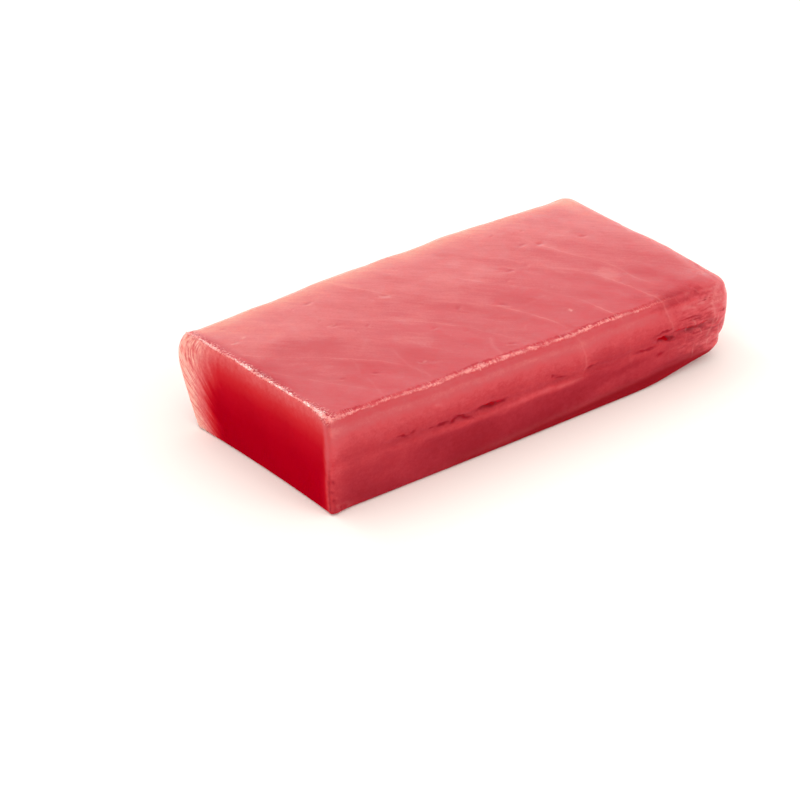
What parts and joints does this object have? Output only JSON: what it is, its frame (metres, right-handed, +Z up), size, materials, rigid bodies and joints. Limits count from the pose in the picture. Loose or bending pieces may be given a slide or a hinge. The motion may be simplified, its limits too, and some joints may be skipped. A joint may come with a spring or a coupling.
{
  "type": "raw tuna block",
  "caption": "Squared block of raw tuna loin with one fresh knife cut and one rounded natural end, lying flat.",
  "frame": {"origin": "centre of the block's box, on its flat underside", "axes": "+X along the block from the knife cut to the rounded natural end, +Y from its front to its far side, +Z up"},
  "size_m": [0.1592, 0.0814, 0.0314],
  "materials": {
    "raw_tuna": "moist, slightly glossy raw flesh"
  },
  "bodies": {
    "root": {"tuna_block": "raw_tuna"}
  },
  "joints": []
}
